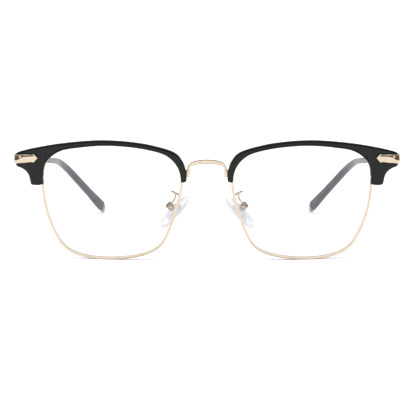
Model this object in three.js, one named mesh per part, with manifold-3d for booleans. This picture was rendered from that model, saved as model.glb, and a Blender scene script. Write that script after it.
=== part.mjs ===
// Half rim (browline) eyeglasses: lenses 51.8 mm wide and 18.9 mm apart, temples 136.5 mm long.
//
// A gold metal chassis holds two plastic lenses: split eyewires joined by a bridge, closed by screwed rim
// locks, and carrying end pieces with three-knuckle hinges. Black brow bars cover the upper half of the
// eyewires, each with an arrow plaque let into its outer end. Screw-on silicone pads rock in boxes on wire
// arms. Each temple is a metal bar whose tang runs inside a bent plastic tip.
//
// Millimetres. +X is the wearer's left, -Y the way the wearer looks, +Z up. The open glasses stand on
// the eyewires and the temple tips at z = 0, and the origin is under the middle of the whole object.

import * as THREE from "three";
import { mergeVertices } from "three/addons/utils/BufferGeometryUtils.js";
import Module from "manifold-3d";

const wasm = await Module();
wasm.setup();

// ---------------------------------------------------------------- driving dimensions

// The front is designed flat and then bowed: y grows with the distance from the middle.
const WRAP_RADIUS = 240;
const SAG_RADIUS = 200;
const SAG_MIDDLE = 22;

const EYEWIRE = { wall: 0.9, depth: 2.0, groove: 0.45, grooveMouth: 1.2 };
const LENS = { thickness: 1.8, bevel: 0.28, edgeGap: 0.1 };
const RIM_SAMPLES = 48;
const SPLIT_HEIGHT = 30.35; // height of the cut in the eyewire, on its outer side
const SPLIT_GAP = 0.0024; // width of that cut, as a share of the way round

const BROW = { front: -3.3, back: 1.35, lipBack: -1.3, edge: 0.35, groove: 0.15 };
const BROW_STEP = { most: 0.2, from: 46, to: 56 }; // the eyewire's inner edge shows this far, up to x = from
const BROW_ENDS = { nasal: 29.7, temporal: 28.1 }; // heights at which the inner edge of the brow stops

// The plaque drops by `slope` outwards; `middle` is its height at x = `slopeFrom`.
const PLAQUE = {
  middle: 37.17, slope: 0.06, slopeFrom: 68, front: -3.9, recess: -2.75, back: -2.95,
  sideIn: 70.4, sideOut: 71.3, sideMiddle: 37.0, sideHalf: 1.62,
};

const HINGE = { x: 65.7, y: 17.5, z: 36.6, knuckle: 1.35, height: 4.8, bore: 0.72, gap: 0.1 };
const JOINT_GAP = 0.3; // between the end piece and the temple when the temple is open
const LEAF = { inner: 0.75, outer: 1.75, clear: 1.7, length: 5.4, height: 3.2 }; // from the hinge axis
const SCREW = { shank: 0.62, head: 1.15, headHeight: 0.7 };

const TEMPLE = {
  start: new THREE.Vector3(69.45, HINGE.y + 0.15, 36.6),
  knee: new THREE.Vector3(64.15, 103, 27.7),
  end: new THREE.Vector3(48.55, 144.2, 1.85),
  kneeReach: 13,
};
const SLEEVE_START = 44; // millimetres along the temple where the plastic tip begins
const SLEEVE_WALL_GAP = 0.12;

// The nose pad: the directions of its long axis and of its screw, which it rocks about.
const PAD = {
  centre: new THREE.Vector3(12.3, 12.4, 16.6),
  long: new THREE.Vector3(0.67, 0.05, -0.742),
  screw: new THREE.Vector3(0.16, 0.98, 0.18),
  length: 15,
  width: 7.6,
  thickness: 2.7,
};
const LUG = { x: -0.8, z: 2.75, half: 0.5, long: 1.1, top: 0.55, bore: 0.38 };
const PAD_BOX = { near: 0.95, far: 1.2, side: 1.1, wall: 0.5 }; // measured from the screw's axis
const ARM_WIRE = 0.37;
const ARM_PATH = [
  [10.05, 1.5, 24.0], [10.3, 2.6, 24.1], [11.3, 3.9, 24.6], [12.8, 5.4, 25.1], [13.1, 7.2, 24.9],
  [12.2, 8.9, 24.2], [11.7, 10.0, 23.2],
];

// ---------------------------------------------------------------- materials

const plain = (color, roughness, metalness, more = {}) =>
  new THREE.MeshStandardMaterial({ color, roughness, metalness, ...more });
const GOLD = plain(0xd9bd8c, 0.25, 1.0);
const BLACK = plain(0x1d1d1e, 0.3, 0.0);
const SLATE = plain(0x5a5a6b, 0.3, 0.0, { transparent: true, opacity: 0.9 });
const CLEAR = plain(0xf6f8fb, 0.05, 0.0, { transparent: true, opacity: 0.12 });
const SILICONE = plain(0xe8ebef, 0.35, 0.0, { transparent: true, opacity: 0.55 });

// ---------------------------------------------------------------- small helpers

const v3 = (x, y, z) => new THREE.Vector3(x, y, z);
const v2 = (x, y) => new THREE.Vector2(x, y);
const bow = (x, z) => x ** 2 / (2 * WRAP_RADIUS) + (z - SAG_MIDDLE) ** 2 / (2 * SAG_RADIUS);

/** Moves a flat-designed piece of the front onto the bowed surface. */
function bowed(geometry) {
  const p = geometry.attributes.position;
  for (let i = 0; i < p.count; i++) p.setY(i, p.getY(i) + bow(p.getX(i), p.getZ(i)));
  return outward(geometry);
}

/** A geometry as a manifold-3d solid. */
function solid(geometry) {
  const bare = new THREE.BufferGeometry();
  bare.setAttribute("position", geometry.attributes.position.clone());
  bare.setIndex(geometry.index);
  const merged = mergeVertices(bare, 1e-4);
  const triVerts = new Uint32Array(merged.index.array);
  return new wasm.Manifold(
    new wasm.Mesh({ numProp: 3, vertProperties: merged.attributes.position.array, triVerts }),
  );
}

/** A manifold-3d solid as a geometry. */
function geometryOf(manifold) {
  const mesh = manifold.getMesh();
  const geometry = new THREE.BufferGeometry();
  geometry.setAttribute("position", new THREE.BufferAttribute(new Float32Array(mesh.vertProperties), 3));
  geometry.setIndex(new THREE.BufferAttribute(new Uint32Array(mesh.triVerts), 1));
  geometry.computeVertexNormals();
  return geometry;
}

/** A closed geometry with its faces turned outwards. */
function outward(geometry) {
  const bare = new THREE.BufferGeometry();
  bare.setAttribute("position", geometry.attributes.position);
  bare.setIndex(geometry.index);
  const merged = mergeVertices(bare, 1e-4);
  if (solid(merged).volume() < 0) merged.setIndex([...merged.index.array].reverse());
  merged.computeVertexNormals();
  return merged;
}

function join(first, ...rest) {
  return geometryOf(rest.reduce((sum, g) => sum.add(solid(g)), solid(first)));
}

function cut(first, ...tools) {
  return geometryOf(tools.reduce((left, g) => left.subtract(solid(g)), solid(first)));
}

/** Triangles that fill a closed loop of points lying near one plane. */
function capOf(loop) {
  const normal = v3(0, 0, 0);
  loop.forEach((p, i) => normal.add(p.clone().cross(loop[(i + 1) % loop.length])));
  normal.normalize();
  const across = loop[1].clone().sub(loop[0]).normalize();
  const up = normal.clone().cross(across);
  return THREE.ShapeUtils.triangulateShape(loop.map((p) => v2(p.dot(across), p.dot(up))), []);
}

/** A closed skin over a row of loops that all have the same number of points. */
function skin(loops) {
  const n = loops[0].length;
  const last = (loops.length - 1) * n;
  const index = [];
  for (let k = 0; k < loops.length - 1; k++)
    for (let i = 0; i < n; i++) {
      const a = k * n + i;
      const b = k * n + ((i + 1) % n);
      index.push(a, b, b + n, a, b + n, a + n);
    }
  for (const [a, b, c] of capOf(loops[0])) index.push(a, c, b);
  for (const [a, b, c] of capOf(loops.at(-1))) index.push(last + a, last + b, last + c);
  const geometry = new THREE.BufferGeometry().setFromPoints(loops.flat());
  geometry.setIndex(index);
  return outward(geometry);
}

/** A flat outline in x and z, extruded in y from `from` to `to`, with edges eased by `ease`. */
function plate(points, from, to, ease = 0) {
  const geometry = new THREE.ExtrudeGeometry(new THREE.Shape(points), {
    depth: to - from - 2 * ease,
    bevelEnabled: ease > 0,
    bevelThickness: ease,
    bevelSize: ease,
    bevelOffset: -ease,
    bevelSegments: 1,
  });
  return outward(geometry.rotateX(Math.PI / 2).translate(0, to - ease, 0));
}

const box = (x0, x1, y0, y1, z0, z1) =>
  new THREE.BoxGeometry(x1 - x0, y1 - y0, z1 - z0).translate((x0 + x1) / 2, (y0 + y1) / 2, (z0 + z1) / 2);

/** A round bar along +z from z0 to z1. */
function round(radius, x, y, z0, z1, sides = 16) {
  const bar = new THREE.CylinderGeometry(radius, radius, z1 - z0, sides);
  return bar.rotateX(Math.PI / 2).translate(x, y, (z0 + z1) / 2);
}

/** A slotted screw: its head stands on z = 0 and its shank runs down from there. */
function screw(shank, head, headHeight, length) {
  const profile = [v2(0, -length), v2(shank, -length), v2(shank, 0), v2(head, 0)];
  profile.push(v2(head, headHeight * 0.6), v2(head * 0.8, headHeight), v2(0, headHeight));
  const turned = new THREE.LatheGeometry(profile, 10).rotateX(Math.PI / 2);
  const slot = box(-head * 2, head * 2, -head * 0.16, head * 0.16, headHeight * 0.5, headHeight * 2);
  return cut(outward(turned), slot);
}

// ---------------------------------------------------------------- the eye shape

// The opening of the left eyewire: x and height, from the nose round under the lens.
const EYE_POINTS = [
  [9.7, 28.4], [11.0, 21.4], [14.1, 12.2], [17.35, 6.3], [22.9, 2.95], [35.5, 1.0], [46.1, 1.95],
  [52.1, 4.6], [55.8, 9.8], [59.1, 18.8], [60.4, 29.4], [59.45, 35.6], [54.6, 39.75], [46.6, 41.4],
  [35.5, 42.15], [21.7, 40.75], [14.4, 38.35], [10.6, 34.0],
];
const eyeCurve = new THREE.CatmullRomCurve3(EYE_POINTS.map(([x, z]) => v3(x, 0, z)), true);

/** Samples of the eye shape, each a point with its outward normal, both in x and z. */
function eyeSamples(count, start = 0) {
  return Array.from({ length: count }, (_, i) => {
    const u = (start + i / count) % 1;
    const p = eyeCurve.getPointAt(u);
    const t = eyeCurve.getTangentAt(u);
    return { x: p.x, z: p.z, nx: t.z, nz: -t.x, u };
  });
}

/** Where along the curve its outer side has the height `z`. */
function outerSideAt(z) {
  const near = eyeSamples(2000).filter((s) => s.x > 45);
  return near.reduce((a, b) => (Math.abs(a.z - z) < Math.abs(b.z - z) ? a : b)).u;
}

const SPLIT = outerSideAt(SPLIT_HEIGHT);
const rim = eyeSamples(RIM_SAMPLES, SPLIT + 0.5 / RIM_SAMPLES);
const stepOut = (s, r) => v2(s.x + s.nx * r, s.z + s.nz * r);
const at = (s, r, y) => v3(s.x + s.nx * r, y, s.z + s.nz * r);

// ---------------------------------------------------------------- front: eyewire and lens

function eyewire() {
  const { wall, depth, groove, grooveMouth } = EYEWIRE;
  const [d, m, e] = [depth / 2, grooveMouth / 2, 0.18];
  const profile = [
    [0, -d], [wall - e, -d], [wall, -d + e], [wall, d - e], [wall - e, d], [0, d],
    [0, m], [groove, 0], [0, -m],
  ];
  const [start] = eyeSamples(1, SPLIT + SPLIT_GAP / 2);
  const [end] = eyeSamples(1, SPLIT - SPLIT_GAP / 2);
  return bowed(skin([start, ...rim, end].map((s) => profile.map(([r, y]) => at(s, r, y)))));
}

function lens() {
  const half = LENS.thickness / 2;
  const middle = { x: 35, z: 21.5 };
  const ring = (scale, y) =>
    rim.map((s) => {
      const p = stepOut(s, -LENS.edgeGap);
      return v3(middle.x + (p.x - middle.x) * scale, y, middle.z + (p.y - middle.z) * scale);
    });
  const bevel = rim.map((s) => at(s, LENS.bevel, 0));
  const front = [ring(1, -0.45), ring(1, -half), ring(0.5, -half)];
  const back = [ring(0.5, half), ring(1, half), ring(1, 0.45)];
  return bowed(skin([...back, bevel, ...front]));
}

// ---------------------------------------------------------------- front: brow bar

// The outer edge of the brow, from its nasal end up and out to the temporal end and down to its lug.
const BROW_OUTER = {
  nasalEnd: [[9.4, 29.2], [8.3, 29.2], [7.65, 29.55], [7.4, 30.2]],
  nasalTab: [[7.4, 33.6], [7.75, 33.95]],
  arch: [
    [8.05, 35.1], [8.75, 36.6], [10.6, 39.05], [13.5, 40.65], [18.6, 42.1], [24.5, 43.25], [33.3, 44.1],
    [42.2, 44.05], [54.2, 42.8], [64.3, 40.95], [69.7, 39.6],
  ],
  tip: [[70.55, 39.25], [70.75, 38.8], [70.75, 34.7], [70.3, 34.2]],
  lugOuter: [[68.4, 33.55], [66.7, 32.3], [65.7, 30.5], [65.15, 27.95]],
  lugEnd: [[64.8, 27.65], [64.15, 27.45], [61.9, 27.45], [61.25, 27.65]],
};

const corners = (list) => list.map(([x, z]) => v2(x, z));
const smooth = (list, count) => new THREE.SplineCurve(corners(list)).getPoints(count);

/** How far outside the eyewire's inner edge the brow's inner edge lies. */
function browStep(x) {
  const { most, from, to } = BROW_STEP;
  return most * (1 - THREE.MathUtils.clamp((x - from) / (to - from), 0, 1));
}

function browOutline() {
  const { nasalEnd, nasalTab, arch, tip, lugOuter, lugEnd } = BROW_OUTER;
  const covered = rim
    .filter((s) => s.z > (s.x < 30 ? BROW_ENDS.nasal : BROW_ENDS.temporal))
    .map((s) => ({ s, order: (s.u - SPLIT + 1.5) % 1 }))
    .sort((a, b) => a.order - b.order)
    .map(({ s }) => stepOut(s, browStep(s.x)));
  return [
    ...corners(nasalEnd), ...corners(nasalTab), ...smooth(arch, 30), ...corners(tip),
    ...smooth(lugOuter, 7), ...corners(lugEnd), ...covered,
  ];
}

/** The plaque's face: an arrow head with a small waist behind its shoulders; `grow` makes its recess. */
function arrowOutline(grow = 0) {
  const end = PLAQUE.sideOut + (grow ? 1 : 0);
  const shoulder = [
    [63.7 - grow / 2, 1.65 + grow], [65.1, 1.4 + grow], [66.6, 1.6 + grow], [end, 1.62 + grow],
  ];
  const below = [...shoulder].reverse().map(([x, h]) => [x, -h]);
  const level = (x) => PLAQUE.middle + PLAQUE.slope * (PLAQUE.slopeFrom - x);
  return [[62.2 - grow, 0], ...shoulder, ...below].map(([x, h]) => v2(x, level(x) + h));
}

const BROW_SCREWS = { temporal: { x: 64.9, z: 36.75 }, nasal: { x: 7.95, z: 32.3 } };
const BROW_SCREW = { shank: 0.4, head: 0.72, headHeight: 0.45 };

/** A bar along y, for the holes that the brow's screws pass through. */
const boreAlongY = ({ x, z }, radius, y0, y1) =>
  round(radius, 0, 0, y0, y1, 12).rotateX(-Math.PI / 2).translate(x, 0, z);

function brow() {
  const { front, back, lipBack, edge, groove } = BROW;
  const behind = back + 4;
  const blank = plate(browOutline(), front, back, edge);
  const channel = plate(rim.map((s) => stepOut(s, EYEWIRE.wall + groove)), lipBack, behind);
  const endRoom = box(59, 75, lipBack, behind, 25, 39.35);
  const noseRoom = box(5, 9.6, lipBack, behind, 27, 34.9);
  const recess = plate(arrowOutline(0.12), front - 4, PLAQUE.recess);
  const half = PLAQUE.sideHalf + 0.13;
  const turn = box(
    PLAQUE.sideIn - 0.25, 75, front - 4, behind,
    PLAQUE.sideMiddle - half, PLAQUE.sideMiddle + half,
  );
  const holes = Object.values(BROW_SCREWS).map((s) =>
    boreAlongY(s, BROW_SCREW.shank + 0.08, lipBack - 1, lipBack + 1),
  );
  return bowed(cut(blank, channel, endRoom, noseRoom, recess, turn, ...holes));
}

/** One brow screw, seen from behind: its head rests on the metal, its shank goes forward into the brow. */
function browScrew(place, headY) {
  const one = screw(BROW_SCREW.shank, BROW_SCREW.head, BROW_SCREW.headHeight, headY - BROW.lipBack + 0.8);
  return bowed(one.rotateX(-Math.PI / 2).translate(place.x, headY, place.z));
}

// ---------------------------------------------------------------- front: plaque

function plaque() {
  const { front, back, sideIn, sideOut, sideMiddle, sideHalf } = PLAQUE;
  const face = bowed(plate(arrowOutline(), front, back, 0.2));
  const cornerY = bow(sideOut, sideMiddle) + front + 0.2;
  const rear = HINGE.y - JOINT_GAP - 0.1;
  const side = box(sideIn, sideOut, cornerY, rear, sideMiddle - sideHalf, sideMiddle + sideHalf);
  return join(face, side);
}

const RIVET = { x: 69.0, z: 37.95, radius: 0.5, height: 0.35 };

function plaqueRivet() {
  const quarter = Array.from({ length: 4 }, (_, i) => (i * Math.PI) / 6);
  const dome = quarter.map((a) => v2(RIVET.radius * Math.cos(a), RIVET.height * Math.sin(a)));
  const turned = new THREE.LatheGeometry([v2(0, 0), ...dome], 12).rotateX(Math.PI);
  return bowed(turned.translate(RIVET.x, PLAQUE.front - 0.05, RIVET.z));
}

// ---------------------------------------------------------------- front: bridge

// Half of the bridge's centre line, from the middle down to the foot, with its thickness there.
const BRIDGE_HALF = [
  [0, -0.4, 36.6, 1.55], [2.4, -0.3, 36.5, 1.5], [4.4, -0.2, 36.15, 1.4], [5.8, -0.1, 35.6, 1.25],
  [6.5, 0, 34.8, 1.1], [6.72, 0, 33.8, 1.04], [6.72, 0.1, 32.3, 1.04],
];
const BRIDGE = {
  deep: 2.0, corner: 0.32,
  foot: { x0: 6.22, x1: 8.7, z0: 31.05, z1: 33.4, y0: -0.95, y1: 0.6 },
};

/** An upright rectangle with cut corners, centred on zero. */
function roundedSection(width, height, corner) {
  const [a, b, c] = [width / 2, height / 2, corner];
  return [[a, b - c], [a - c, b], [c - a, b], [-a, b - c], [-a, c - b], [c - a, -b], [a - c, -b], [a, c - b]];
}

function bridge() {
  const otherHalf = BRIDGE_HALF.slice(1).reverse().map(([x, ...rest]) => [-x, ...rest]);
  const stations = [...otherHalf, ...BRIDGE_HALF];
  const path = new THREE.CatmullRomCurve3(stations.map(([x, y, z]) => v3(x, y, z)));
  const thickness = new THREE.CatmullRomCurve3(stations.map((s) => v3(s[3], 0, 0)));
  const steps = 24;
  const loops = Array.from({ length: steps + 1 }, (_, i) => {
    const p = path.getPoint(i / steps);
    const t = path.getTangent(i / steps);
    const out = v3(t.z, 0, -t.x).normalize();
    const section = roundedSection(thickness.getPoint(i / steps).x, BRIDGE.deep, BRIDGE.corner);
    return section.map(([a, b]) => p.clone().addScaledVector(out, a).setY(p.y + b));
  });
  const { x0, x1, y0, y1, z0, z1 } = BRIDGE.foot;
  const feet = [box(x0, x1, y0, y1, z0, z1), box(-x1, -x0, y0, y1, z0, z1)];
  const { x, z } = BROW_SCREWS.nasal;
  const holes = [x, -x].map((side) => boreAlongY({ x: side, z }, BROW_SCREW.shank + 0.08, -3, 3));
  return bowed(cut(join(skin(loops), ...feet), ...holes));
}

// ---------------------------------------------------------------- front: rim lock and end piece

const LOCK = { x0: 61.5, x1: 64.0, y0: -0.95, y1: 1.5, screwX: 62.85, screwY: 0.3, gap: 0.12 };

function rimLock(upper) {
  const [z0, z1] = upper ? [SPLIT_HEIGHT + LOCK.gap, 32.8] : [28.0, SPLIT_HEIGHT - LOCK.gap];
  const block = box(LOCK.x0, LOCK.x1, LOCK.y0, LOCK.y1, z0, z1);
  return bowed(cut(block, round(0.5, LOCK.screwX, LOCK.screwY, z0 - 1, upper ? 32.2 : z1 + 1, 12)));
}

function rimLockScrew() {
  const one = screw(0.42, 0.78, 0.5, 3.9).rotateX(Math.PI);
  return bowed(one.translate(LOCK.screwX, LOCK.screwY, 27.95));
}

/** The end piece: behind the brow, round the corner and back to the hinge, with a leg to the rim lock. */
function endPiece() {
  const behind = (x) => bow(x, PLAQUE.sideMiddle);
  const [z0, z1] = [34.7, 38.6];
  const [inner, outer] = [HINGE.x + LEAF.outer + 0.15, PLAQUE.sideIn - 0.25];
  const front = [62, 64, 66, 68, 69.4, outer].map((x) => v2(x, behind(x) - 0.95));
  const back = [inner, 66.7, 65.4, 63.7, 62].map((x) => v2(x, behind(x) + 0.75));
  const rear = HINGE.y - JOINT_GAP - 0.1;
  const plan = new THREE.Shape([...front, v2(outer, rear), v2(inner, rear), ...back]);
  const arm = new THREE.ExtrudeGeometry(plan, { depth: z1 - z0, bevelEnabled: false }).translate(0, 0, z0);
  const leg = bowed(box(LOCK.x0, LOCK.x1, -0.7, 0.6, 32.95, 35));
  const hole = bowed(boreAlongY(BROW_SCREWS.temporal, BROW_SCREW.shank + 0.08, -3, 3));
  return cut(join(arm, leg), hole);
}

// ---------------------------------------------------------------- hinge

const KNUCKLE = HINGE.height / 3;
const knuckleAt = (i) => {
  const z0 = HINGE.z - HINGE.height / 2 + i * KNUCKLE;
  return [z0 + HINGE.gap / 2, z0 + KNUCKLE - HINGE.gap / 2];
};

/** A hinge leaf: `which` knuckles, on a plate that runs forward (way -1) or back (way +1). */
function hingeLeaf(which, way) {
  const span = (a, b) => [HINGE.y + Math.min(way * a, way * b), HINGE.y + Math.max(way * a, way * b)];
  const [x0, x1] = [HINGE.x + LEAF.inner, HINGE.x + LEAF.outer];
  const [low, high] = [HINGE.z - LEAF.height / 2, HINGE.z + LEAF.height / 2];
  const knuckles = which.flatMap((i) => {
    const [z0, z1] = knuckleAt(i);
    const tongue = box(x0, x1, ...span(0, LEAF.clear + 0.5), z0, z1);
    return [round(HINGE.knuckle, HINGE.x, HINGE.y, z0, z1), tongue];
  });
  const leaf = join(box(x0, x1, ...span(LEAF.clear, LEAF.length), low, high), ...knuckles);
  return cut(leaf, round(HINGE.bore, HINGE.x, HINGE.y, HINGE.z - HINGE.height, HINGE.z + HINGE.height));
}

/** Turns a geometry about the hinge's axis. */
const turnedAtHinge = (geometry, angle) =>
  geometry.translate(-HINGE.x, -HINGE.y, 0).rotateZ(angle).translate(HINGE.x, HINGE.y, 0);

function hingeScrew() {
  const top = HINGE.z + HINGE.height / 2;
  const one = screw(SCREW.shank, SCREW.head, SCREW.headHeight, HINGE.height + 0.25);
  return one.translate(HINGE.x, HINGE.y, top + 0.05);
}

// ---------------------------------------------------------------- temple

/** The temple's centre line: straight, one smooth bend over the ear, straight again. */
const templePath = (() => {
  const { start, knee, end, kneeReach } = TEMPLE;
  const before = knee.clone().addScaledVector(start.clone().sub(knee).normalize(), kneeReach);
  const after = knee.clone().addScaledVector(end.clone().sub(knee).normalize(), kneeReach);
  const path = new THREE.CurvePath();
  path.add(new THREE.LineCurve3(start, before));
  path.add(new THREE.QuadraticBezierCurve3(before, knee, after));
  path.add(new THREE.LineCurve3(after, end));
  return path;
})();
const TEMPLE_LENGTH = templePath.getLength();
const TEMPLE_TOE_IN = Math.atan2(TEMPLE.start.x - TEMPLE.knee.x, TEMPLE.knee.y - TEMPLE.start.y);

/** Loops round the temple's centre line: distance along it, width, height, corner and drop below it. */
function templeLoops(stations) {
  return stations.map(([along, width, height, corner, drop = 0]) => {
    const u = THREE.MathUtils.clamp(along / TEMPLE_LENGTH, 0, 1);
    const t = templePath.getTangentAt(u);
    const p = templePath.getPointAt(u).addScaledVector(t, Math.max(0, along - TEMPLE_LENGTH));
    const across = t.clone().cross(v3(0, 0, 1)).normalize();
    const up = across.clone().cross(t);
    return roundedSection(width, height, corner).map(([a, b]) =>
      p.clone().addScaledVector(across, a).addScaledVector(up, b - drop),
    );
  });
}

const KNEE_STATIONS = [75, 79, 83, 87, 91, 95, 99];
const TANG_END = TEMPLE_LENGTH - 9;

function templeBar() {
  const visible = [[0, 3.5, 3.9, 0.5], [6.5, 3.4, 3.7, 0.5], [12, 1.9, 3.0, 0.4], [30, 1.5, 2.5, 0.35]];
  const neck = [[SLEEVE_START - 0.5, 1.4, 2.1, 0.3], [SLEEVE_START + 0.5, 1.0, 1.3, 0.2]];
  const tang = [...KNEE_STATIONS, TANG_END].map((s) => [s, 1.0, 1.3, 0.2]);
  return skin(templeLoops([...visible, ...neck, ...tang]));
}

function templeTip() {
  const room = 2 * SLEEVE_WALL_GAP;
  const [start, end] = [SLEEVE_START, TEMPLE_LENGTH];
  const outer = [
    [start, 1.85, 2.35, 0.45], [start + 6, 2.1, 2.3, 0.5],
    ...KNEE_STATIONS.map((s, i) => [s, 2.2, 2.35 + i * 0.11, 0.5]),
    [118, 2.3, 3.3, 0.6], [end - 6.5, 2.5, 4.2, 0.7], [end - 3.5, 2.5, 4.3, 0.7],
    [end - 1.7, 2.4, 3.6, 0.7, 0.3], [end - 0.5, 2.0, 2.6, 0.6, 0.75], [end + 0.1, 1.2, 1.4, 0.4, 1.1],
  ];
  const bore = [
    [start - 0.6, 1.4 + room, 2.1 + room, 0.3], [start + 0.6, 1.0 + room, 1.3 + room, 0.2],
    ...[...KNEE_STATIONS, TANG_END + 0.4].map((s) => [s, 1.0 + room, 1.3 + room, 0.2]),
  ];
  return cut(skin(templeLoops(outer)), skin(templeLoops(bore)));
}

// ---------------------------------------------------------------- nose pad

// In the pad's own frame x is its long axis, y its screw and z points away from the nose.
const padLong = PAD.long.clone().normalize();
const padScrew = PAD.screw.clone().addScaledVector(padLong, -PAD.screw.dot(padLong)).normalize();
const padOut = padLong.clone().cross(padScrew);
const padFrame = new THREE.Matrix4().makeBasis(padLong, padScrew, padOut).setPosition(PAD.centre);
const inPadFrame = (geometry) => outward(geometry.applyMatrix4(padFrame));

/** The insert: a plate inside the pad and a lug that stands out of its back; `grow` makes its room. */
function padInsert(grow = 0) {
  const { x, z, half, long, top } = LUG;
  const base = box(-3.4 - grow, 3.4 + grow, -1.9 - grow, 1.9 + grow, -0.4 - grow, 0.4 + grow);
  const lug = box(x - long / 2 - grow, x + long / 2 + grow, -half - grow, half + grow, 0, z + top);
  const whole = join(base, lug);
  if (grow) return whole;
  return cut(whole, round(LUG.bore, 0, 0, -3, 3, 12).rotateX(Math.PI / 2).translate(x, 0, z));
}

function nosePad() {
  const outline = Array.from({ length: 22 }, (_, i) => {
    const a = (i / 22) * Math.PI * 2;
    const taper = 1 + 0.14 * Math.cos(a); // fuller at its lower end
    return v2((PAD.length / 2) * Math.cos(a), (PAD.width / 2) * taper * Math.sin(a));
  });
  const body = new THREE.ExtrudeGeometry(new THREE.Shape(outline), {
    depth: PAD.thickness - 1.8,
    bevelThickness: 0.9,
    bevelSize: 1.1,
    bevelOffset: -1.1,
    bevelSegments: 2,
  });
  return inPadFrame(cut(body.translate(0, 0, 0.9 - PAD.thickness / 2), padInsert(0.1)));
}

/** The pad's box: closed at its upper end, open towards the pad and at its lower end. */
function padBox() {
  const { near, far, side, wall } = PAD_BOX;
  const { x, z } = LUG;
  const shell = box(x - far, x + far, -side, side, z - near, z + far);
  const room = box(x - far + wall, x + far + 1, wall - side, side - wall, z - near - 1, z + far - wall);
  const bore = round(LUG.bore, 0, 0, -5, 5, 12).rotateX(Math.PI / 2).translate(x, 0, z);
  return inPadFrame(cut(shell, room, bore));
}

function padScrewPart() {
  const reach = PAD_BOX.side;
  const one = screw(LUG.bore - 0.1, 0.85, 0.4, 2 * reach + 0.05).rotateX(Math.PI / 2);
  return inPadFrame(one.translate(LUG.x, -reach - 0.05, LUG.z));
}

/** The wire from the back of the eyewire: back, out in a loop, and down to the pad's box. */
function padArm() {
  const boxTop = v3(LUG.x - PAD_BOX.far - 0.15, 0, LUG.z + 0.45).applyMatrix4(padFrame);
  const before = boxTop.clone().addScaledVector(padLong, -1.0);
  const bends = ARM_PATH.map(([x, y, z]) => v3(x, y, z));
  const curve = new THREE.CatmullRomCurve3([...bends, before, boxTop]);
  const section = new THREE.Shape().absarc(0, 0, ARM_WIRE, 0, Math.PI * 2);
  return outward(new THREE.ExtrudeGeometry(section, { steps: 20, extrudePath: curve, curveSegments: 4 }));
}

// ---------------------------------------------------------------- assembly

const glasses = new THREE.Group();

function piece(group, name, geometry, material) {
  const mesh = new THREE.Mesh(geometry, material);
  mesh.name = name;
  group.add(mesh);
}

function oneSide(side) {
  const group = new THREE.Group();
  const add = (name, geometry, material) => piece(group, `${name}_${side}`, geometry, material);
  add("eyewire", eyewire(), GOLD);
  add("lens", lens(), CLEAR);
  add("brow", brow(), BLACK);
  add("brow_screw_outer", browScrew(BROW_SCREWS.temporal, 0.85), GOLD);
  add("brow_screw_nasal", browScrew(BROW_SCREWS.nasal, BRIDGE.foot.y1 + 0.08), GOLD);
  add("arrow_plaque", plaque(), GOLD);
  add("plaque_rivet", plaqueRivet(), GOLD);
  add("rim_lock_upper", rimLock(true), GOLD);
  add("rim_lock_lower", rimLock(false), GOLD);
  add("rim_lock_screw", rimLockScrew(), GOLD);
  add("end_piece", endPiece(), GOLD);
  add("hinge_leaf_front", hingeLeaf([0, 2], -1), GOLD);
  add("hinge_leaf_temple", turnedAtHinge(hingeLeaf([1], 1), TEMPLE_TOE_IN), GOLD);
  add("hinge_screw", hingeScrew(), GOLD);
  add("temple_bar", templeBar(), GOLD);
  add("temple_tip", templeTip(), SLATE);
  add("pad_arm", padArm(), GOLD);
  add("pad_box", padBox(), GOLD);
  add("pad_screw", padScrewPart(), GOLD);
  add("pad_insert", inPadFrame(padInsert()), SILICONE);
  add("nose_pad", nosePad(), SILICONE);
  return group;
}

const left = oneSide("left");
const right = oneSide("right");
right.scale.x = -1;
glasses.add(left, right);
piece(glasses, "bridge", bridge(), GOLD);

// The origin goes under the middle of the whole object, on the surface that it stands on.
const bounds = new THREE.Box3().setFromObject(glasses, true);
const whole = new THREE.Group();
glasses.position.set(0, -(bounds.min.y + bounds.max.y) / 2, -bounds.min.z);
whole.add(glasses);

export default whole;
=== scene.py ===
"""Looks for a pair of half rim eyeglasses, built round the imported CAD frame.

Shapes are written in millimetres in the design's own frame, whose y = 0 lies in the plane of the eyewires
at the nose and whose z = 0 is just under them. DESIGN_SHIFT takes that frame to the row frame. Everything
is built for the wearer's left (+X) and mirrored for the right.
"""

import math

import bmesh
import bpy
import numpy as np
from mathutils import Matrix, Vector

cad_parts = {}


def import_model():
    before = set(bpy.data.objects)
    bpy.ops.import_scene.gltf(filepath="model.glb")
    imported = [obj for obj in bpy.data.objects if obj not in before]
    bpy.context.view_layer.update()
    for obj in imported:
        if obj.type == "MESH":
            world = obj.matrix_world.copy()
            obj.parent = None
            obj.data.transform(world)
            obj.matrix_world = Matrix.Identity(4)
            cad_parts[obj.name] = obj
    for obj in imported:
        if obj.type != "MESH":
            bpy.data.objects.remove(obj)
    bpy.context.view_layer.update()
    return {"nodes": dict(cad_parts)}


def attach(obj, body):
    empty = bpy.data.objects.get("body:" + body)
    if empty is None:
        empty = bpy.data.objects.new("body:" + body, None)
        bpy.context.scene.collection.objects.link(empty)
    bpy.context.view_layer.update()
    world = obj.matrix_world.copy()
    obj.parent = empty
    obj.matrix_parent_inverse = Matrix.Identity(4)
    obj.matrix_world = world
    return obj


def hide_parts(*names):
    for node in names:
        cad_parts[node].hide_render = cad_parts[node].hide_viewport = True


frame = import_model()
NODES = frame["nodes"]
SIDES = (("left", 1), ("right", -1))

# ------------------------------------------------------------------ dimensions, in millimetres

DESIGN_SHIFT = np.array([0.0, -70.5908, -0.0788])
WRAP_RADIUS = 240
SAG_RADIUS = 200
SAG_MIDDLE = 22

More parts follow.
